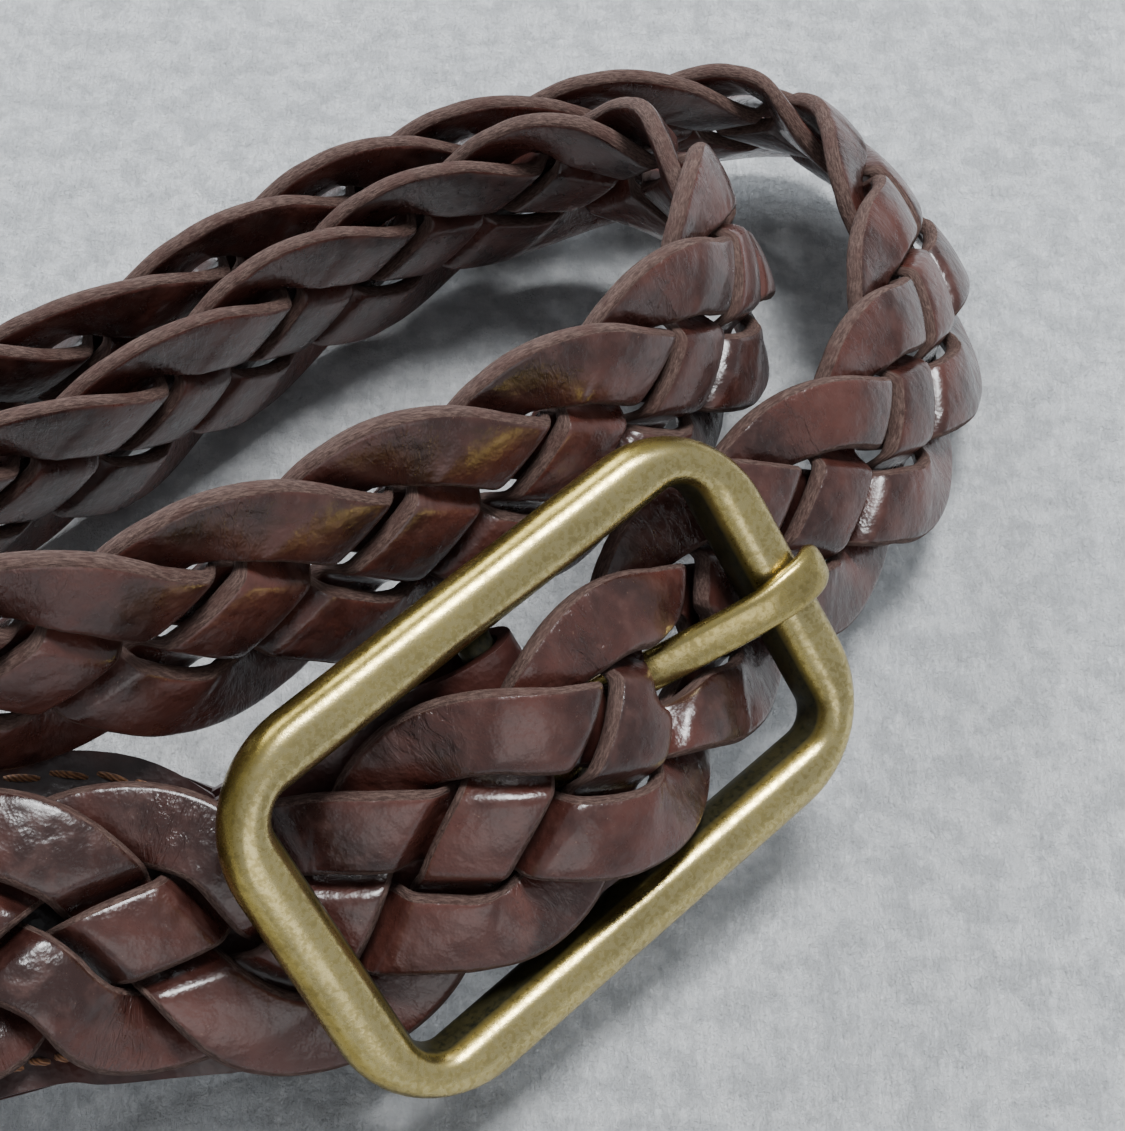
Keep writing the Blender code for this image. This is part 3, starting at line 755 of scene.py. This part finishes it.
def chape_core():
    """The filler between the chape's layers, from the bar to the laces' root."""
    backs = (13.0, 18.0, 24.0, 29.0, ROOT_BACK - 10)
    shares = np.linspace(-1, 1, 5)
    rows = {1: [], -1: []}
    for back in backs:
        across = (chape_half_width(back) - CORE_INSET) * shares
        for side in rows:
            rows[side].append(CHAPE.point(CHAPE_BAR + back, across, side * CORE_HALF_THICK))
    keep = np.ones((len(backs) - 1, len(shares) - 1), bool)
    return layer("chape_filler", np.array(rows[1]), np.array(rows[-1]), keep, TAB, "strap")


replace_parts(chape(), "chape")
for layer_name, side in (("outer", 1), ("inner", -1)):
    for edge_name, edge in (("upper", 1), ("lower", -1)):
        name = f"{layer_name}_{edge_name}"
        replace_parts(chape_stitches("chape_" + name, side, edge), "chape_stitch_" + name)
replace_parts(chape_core(), "chape_core")

# ------------------------------------------------------------------ tip

TIP_START = along_of(BRAID_END) - TIP_MOUTH
# distance from its mouth, share of its half width, and how far each half lies from the strap's middle
TIP_ALONG_KEYS = [0, 5, 10, 12.5, 15, 18, 20.5, 22.5, 23.6]
TIP_HALF_KEYS = [1, 1, 1, 1, 0.96, 0.82, 0.62, 0.38, 0.15]
TIP_LEVEL_KEYS = [3.5, 3.5, 3.5, 3.2, 2.0, 0.95, 0.85, 0.85, 0.85]


def tip_half(run):
    """Half the tip's width at a distance from its mouth."""
    return TIP_WIDE / 2 * np.interp(run, TIP_ALONG_KEYS, TIP_HALF_KEYS)


def tip_level(run):
    """How far each half lies from the strap's middle at a distance from its mouth."""
    return np.interp(run, TIP_ALONG_KEYS, TIP_LEVEL_KEYS)


def tip(name, side):
    """One half of the tip; the two meet beyond the laces' ends."""
    runs = np.linspace(0, TIP_ALONG_KEYS[-1], 26)
    across = np.linspace(-1, 1, 9)
    rows = {1: [], -1: []}
    for run in runs:
        for face in rows:
            level = side * tip_level(run) + face * SKIN / 2
            rows[face].append(STRAP.point(TIP_START + run, tip_half(run) * across, level))
    keep = np.ones((len(runs) - 1, len(across) - 1), bool)
    return layer(name, np.array(rows[1]), np.array(rows[-1]), keep, TAB, "strap")


def tip_stitches(name, side):
    """Down one edge, round the point and back along the other."""
    runs = np.linspace(1.5, 21.0, 60)
    inset = tip_half(runs) - STITCH_INSET
    edge = np.concatenate([inset, -inset[::-1]])
    there = np.concatenate([runs, runs[::-1]])
    travel = np.concatenate([[0], np.cumsum(np.hypot(np.diff(there), np.diff(edge)))])
    spots = []
    for middle in np.arange(STITCH_PITCH, travel[-1] - STITCH_PITCH / 2, STITCH_PITCH):
        ends = []
        for at in (middle - STITCH_LENGTH / 2, middle + STITCH_LENGTH / 2):
            run, across = float(np.interp(at, travel, there)), float(np.interp(at, travel, edge))
            ends.append(STRAP.point(TIP_START + run, across, side * (tip_level(run) + SKIN / 2)))
        up = STRAP.point(TIP_START + 10, 0, side) - STRAP.point(TIP_START + 10, 0, 0)
        spots.append((ends[0], ends[1], unit(up)))
    return stitch_row(name, spots, THREAD)


for name, side in (("outer", 1), ("inner", -1)):
    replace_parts(tip(f"tip_{name}_leather", side), "tip_" + name)
    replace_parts(tip_stitches(f"tip_{name}_threads", side), "tip_stitch_" + name)

# ------------------------------------------------------------------ buckle


def rounded_rectangle(length, width, radius, steps):
    """Points of a rectangle's outline with rounded corners."""
    spots = []
    for quarter in range(4):
        sx = 1 if quarter in (0, 3) else -1
        sy = 1 if quarter in (0, 1) else -1
        for i in range(steps + 1):
            angle = math.radians(90 * quarter + 90 * i / steps)
            cx, cy = sx * (length / 2 - radius), sy * (width / 2 - radius)
            spots.append((cx + radius * math.cos(angle), cy + radius * math.sin(angle)))
    return spots


# section of a buckle bar: outwards from its middle, and up from the frame's middle plane
FRAME_SECTION = rounded([(-2.9, -2.5), (-2.9, 0.3), (-1.7, 2.6), (0.2, 3.0),
                         (2.2, 2.5), (3.2, 0.8), (2.9, -1.6), (1.6, -2.55)])
CORNER_STEPS = 14
BAR_SIDES = 32


def frame_dark_and_worn(side, level):
    """How dark the bar is made at a point of its section, near-black towards its inner wall and darker
    underneath, and how bright it is worn.
    """
    inner_wall = float(smooth((-side * 0.87 - level * 0.42 - 1.15) / 0.5 + (2.0 - level) / 0.8))
    back = 0.6 * float(smooth((-1.6 - level) / 0.6))
    crown = float(smooth((level - 1.8) / 0.9))
    return max(inner_wall if side < -1.6 else 0.0, back), crown, 0.0


def buckle_frame():
    """Each point of the bar's section, carried round the frame."""
    wide = FRAME_BAR_WIDE / 2
    length, width = FRAME_LENGTH - FRAME_BAR_WIDE, FRAME_WIDTH - FRAME_BAR_WIDE
    loops, patina_and_shade = [], []
    for side, level in FRAME_SECTION:
        radius = float(np.interp(side, [-wide, wide], [FRAME_INNER_CORNER, FRAME_CORNER]))
        outline = rounded_rectangle(length + 2 * side, width + 2 * side, radius, CORNER_STEPS)
        loops.append([in_frame(x, y, level) for x, y in outline])
        patina_and_shade.append([frame_dark_and_worn(side, level)] * len(outline))
    rings = np.array(loops).transpose(1, 0, 2)
    return tube("buckle_frame_cast", rings, [BRASS], "frame", closed=True,
                fields={"patina_and_shade": np.array(patina_and_shade).transpose(1, 0, 2)})


def centre_bar():
    """A plain pin between the frame's long bars, painted near-black all over as painted shade so that it
    reads as shadow under the laces.
    """
    half = FRAME_WIDTH / 2 - FRAME_BAR_WIDE + 0.2
    angles = np.linspace(0, 2 * math.pi, BAR_SIDES + 1)[:-1]
    rings = []
    for across in np.linspace(-half, half, 12):
        ring = []
        for angle in angles:
            along, level = BAR_RADIUS * math.cos(angle), BAR_LEVEL + BAR_RADIUS * math.sin(angle)
            ring.append(in_frame(along, across, level))
        rings.append(ring)
    rings = np.array(rings)
    # painted shade: the whole pin gets the brass's near-black colour
    patina_and_shade = np.tile((1.0, 0.0, 0.0), rings.shape[:2] + (1,))
    return tube("centre_bar_pin", rings, [BRASS], "frame", fields={"patina_and_shade": patina_and_shade})


PRONG_SPOON = 0.10      # how much wider its end is
PRONG_SPOON_LENGTH = 9.0
# from the bar up through the laces and over the end bar: along the frame, above its middle plane
PRONG_PATH = [(5.5, -5.2), (10.5, -3.7), (15.0, -1.2), (19.6, 1.3),
              (23.6, 3.2), (27.0, 3.9), (30.2, 3.5), (32.2, 1.9)]
PRONG_SECTION = rounded([(1, -1), (1, 0.35), (0.62, 1), (-0.62, 1), (-1, 0.35), (-1, -1)])


def prong():
    """A strip curled round the bar, then up through the laces and down over the end bar."""
    loop = BAR_RADIUS + 0.25 + PRONG_THICK / 2
    path = []
    for degrees in range(235, -50, -20):
        angle = math.radians(degrees)
        path.append((loop * math.cos(angle), BAR_LEVEL + loop * math.sin(angle)))
    path = np.array(path + PRONG_PATH)
    knots = np.concatenate([[0], np.cumsum(np.linalg.norm(np.diff(path, axis=0), axis=1))])
    at = np.linspace(0, knots[-1], 110)
    fine = spline(knots, path, at)
    run = np.gradient(fine, axis=0)
    run /= np.linalg.norm(run, axis=1)[:, None]
    rings, patina_and_shade = [], []
    for i, ((a, n), (da, dn)) in enumerate(zip(fine, run)):
        left = knots[-1] - at[i]
        wide = PRONG_WIDE / 2 * (1 + PRONG_SPOON * float(smooth((PRONG_SPOON_LENGTH - left) / 4)))
        wide *= float(np.interp(left, [0, 0.25, 0.8, 1.8], [0.62, 0.80, 0.93, 1.0]))
        half = PRONG_THICK / 2 * float(np.interp(left, [0, 0.3, 0.9], [0.55, 0.82, 1.0]))
        ring, worn = [], []
        for s, t in PRONG_SECTION:
            ring.append(in_frame(a - dn * t * half, STRAP_SHIFT + s * wide, n + da * t * half))
            # darker underneath, brighter along the top
            worn.append((0.0 if t > -0.5 else 0.6, max(0.0, t) * 0.6, 0.0))
        rings.append(ring)
        patina_and_shade.append(worn)
    return tube("prong_tongue", np.array(rings), [BRASS], "prong",
                fields={"patina_and_shade": np.array(patina_and_shade)})


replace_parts(buckle_frame(), "buckle_frame")
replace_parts(centre_bar(), "centre_bar")
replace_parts(prong(), "prong")

# ------------------------------------------------------------------ floor, light and camera

HALF_FLOOR = 1.5        # metres
floor_corners = [(x * HALF_FLOOR, y * HALF_FLOOR, 0) for x, y in ((-1, -1), (1, -1), (1, 1), (-1, 1))]
floor_mesh = bpy.data.meshes.new("floor")
floor_mesh.from_pydata(floor_corners, [], [(0, 1, 2, 3)])
floor_mesh.materials.append(felt())
floor = bpy.data.objects.new("floor", floor_mesh)
bpy.context.scene.collection.objects.link(floor)


def area_light(name, place, aim, size, power, colour):
    """A rectangular lamp at a place in metres, turned to its aim."""
    light = bpy.data.lights.new(name, "AREA")
    light.shape = "RECTANGLE"
    light.size, light.size_y = size
    light.energy = power
    light.color = colour
    made = bpy.data.objects.new(name, light)
    made.location = place
    made.rotation_euler = (Vector(aim) - Vector(place)).to_track_quat("-Z", "Y").to_euler()
    bpy.context.scene.collection.objects.link(made)


area_light("ceiling", (0.17, 0.20, 0.92), (0, 0, 0.02), (0.28, 0.28), 12.0, (0.97, 0.985, 1.0))
area_light("window", (-0.45, 0.75, 0.55), (0, 0, 0.02), (0.7, 0.5), 9.0, (0.88, 0.94, 1.0))
area_light("front_fill", (0.3, -0.9, 0.5), (0, 0, 0.02), (0.8, 0.5), 1.6, (1.0, 1.0, 1.0))

world = bpy.data.worlds.new("room")
world.use_nodes = True
background = world.node_tree.nodes["Background"]
background.inputs["Color"].default_value = (0.80, 0.84, 0.88, 1.0)
background.inputs["Strength"].default_value = 0.5
bpy.context.scene.world = world

# the photograph's camera: place in the belt's millimetres, angles in degrees
CAMERA_PLACE = (-10.0, -143.0, 202.1)
CAMERA_PITCH = 54.13
CAMERA_YAW = 4.18
CAMERA_ROLL = 5.33
CAMERA_LENS = 75.3

pitch, yaw, roll = math.radians(CAMERA_PITCH), math.radians(CAMERA_YAW), math.radians(CAMERA_ROLL)
ahead = np.array([math.sin(yaw) * math.cos(pitch), math.cos(yaw) * math.cos(pitch), -math.sin(pitch)])
level_right = np.array([math.cos(yaw), -math.sin(yaw), 0.0])
level_up = np.cross(level_right, ahead)
right = math.cos(roll) * level_right + math.sin(roll) * level_up
upward = math.cos(roll) * level_up - math.sin(roll) * level_right
camera_data = bpy.data.cameras.new("camera")
camera_data.lens = CAMERA_LENS
camera_data.sensor_width = 36.0
camera_data.sensor_fit = "AUTO"
camera_data.clip_start = 0.01
camera = bpy.data.objects.new("camera", camera_data)
turn = Matrix([right, upward, -ahead]).transposed().to_4x4()
camera.matrix_world = Matrix.Translation((np.array(CAMERA_PLACE) + np.array(PLACE)) * MM) @ turn
bpy.context.scene.collection.objects.link(camera)
bpy.context.scene.camera = camera
